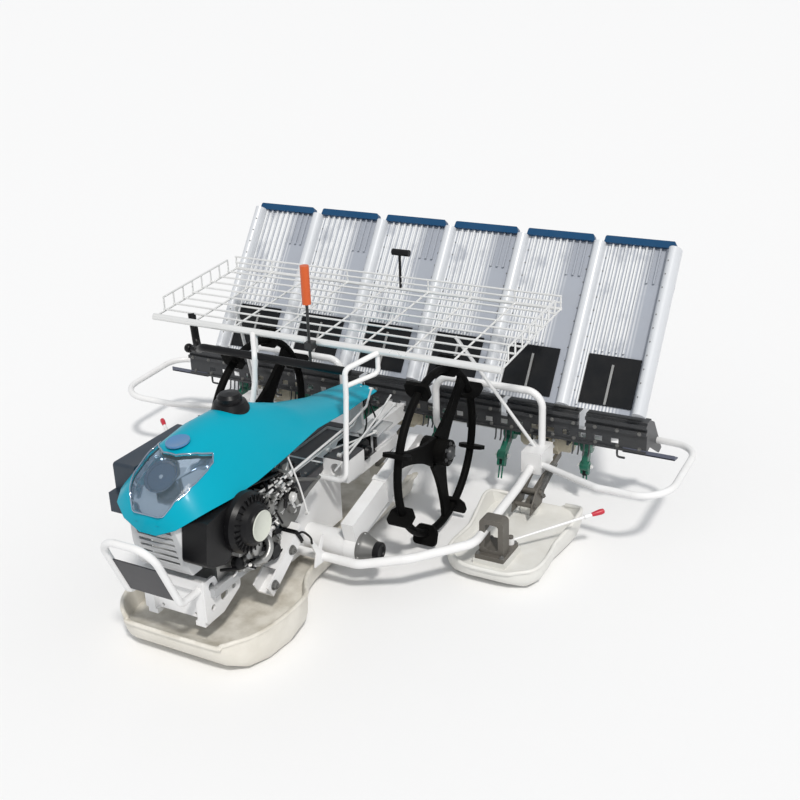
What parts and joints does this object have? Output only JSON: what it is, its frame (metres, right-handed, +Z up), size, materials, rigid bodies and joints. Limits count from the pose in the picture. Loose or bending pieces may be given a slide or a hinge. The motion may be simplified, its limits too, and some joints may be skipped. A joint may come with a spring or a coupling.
{
  "type": "walking rice transplanter",
  "caption": "Walking rice transplanter with an engine over the front float, lug wheels on lift arms, a sloped seedling table and a wire spare rack.",
  "frame": {"origin": "middle of the machine's footprint, on the ground", "axes": "+X to the machine's own left, -Y to its front, +Z up"},
  "size_m": [2.3004, 2.3702, 1],
  "materials": {
    "hood_teal": "gloss",
    "white_paint": "gloss",
    "grey_paint": "satin",
    "dark_steel": "satin",
    "cast_metal": "rough",
    "raw_aluminium": "satin",
    "plated_wire": "satin",
    "black_plastic": "satin",
    "clear_lens": "gloss",
    "white_plastic": "satin",
    "blue_plastic": "satin",
    "float_plastic": "satin",
    "green_paint": "satin",
    "belt_rubber": "matt",
    "wheel_rubber": "matt",
    "brown_panel": "matt",
    "orange_grip": "satin"
  },
  "bodies": {
    "chassis": {"chassis_bed": "grey_paint", "front_plate": "grey_paint", "front_guard": "white_paint", "guard_panel": "brown_panel", "grille": "white_plastic", "hood": "hood_teal", "headlamp": "clear_lens", "fuel_cap": "black_plastic", "side_cover": "brown_panel", "engine_block": "raw_aluminium", "recoil_starter": "black_plastic", "engine_cover": "black_plastic", "muffler": "dark_steel", "transmission": "cast_metal", "side_plates": "white_paint", "main_beam": "white_paint", "center_float": "float_plastic", "side_float_left": "float_plastic", "side_float_right": "float_plastic", "float_brackets": "white_paint", "side_frame_left": "white_paint", "side_frame_right": "white_paint", "planting_beam": "white_paint", "planting_cases": "cast_metal", "planting_arms": "green_paint", "guide_rail": "dark_steel", "spare_rack": "plated_wire", "rack_legs": "white_paint", "rack_hoops": "white_paint", "center_pole": "orange_grip", "control_levers": "black_plastic", "side_guard_left": "white_paint", "side_guard_right": "white_paint", "handlebar": "dark_steel", "handle_grips": "black_plastic"},
    "wheel_left": {"wheel_left": "wheel_rubber"},
    "wheel_right": {"wheel_right": "wheel_rubber"},
    "arm_left": {"swing_arm_left": "white_paint"},
    "arm_right": {"swing_arm_right": "white_paint"},
    "table": {"table_tray": "white_plastic", "table_dividers": "white_plastic", "table_strips": "blue_plastic", "feed_belts": "belt_rubber", "table_frame": "raw_aluminium"},
    "marker_left": {"marker_left": "white_paint"},
    "marker_right": {"marker_right": "white_paint"}
  },
  "joints": [
    {"name": "arm_left_lift", "type": "hinge", "parent": "chassis", "child": "arm_left", "pos_m": [0.27, -0.419, 0.15], "axis": [-1, 0, 0], "range_deg": [0, 36]},
    {"name": "arm_right_lift", "type": "hinge", "parent": "chassis", "child": "arm_right", "pos_m": [-0.27, -0.419, 0.15], "axis": [-1, 0, 0], "range_deg": [0, 36]},
    {"name": "wheel_left_spin", "type": "hinge", "parent": "arm_left", "child": "wheel_left", "pos_m": [0.367, -0.009, 0.33], "axis": [1, 0, 0], "continuous": true},
    {"name": "wheel_right_spin", "type": "hinge", "parent": "arm_right", "child": "wheel_right", "pos_m": [-0.367, -0.009, 0.33], "axis": [1, 0, 0], "continuous": true},
    {"name": "table_traverse", "type": "slide", "parent": "chassis", "child": "table", "axis": [1, 0, 0], "range_m": [-0.218, 0.062]},
    {"name": "marker_left_swing", "type": "hinge", "parent": "chassis", "child": "marker_left", "pos_m": [0.682, -0.109, 0.105], "axis": [0, 0, -1], "range_deg": [0, 80]},
    {"name": "marker_right_swing", "type": "hinge", "parent": "chassis", "child": "marker_right", "pos_m": [-0.682, -0.109, 0.105], "axis": [0, 0, 1], "range_deg": [0, 80]}
  ]
}
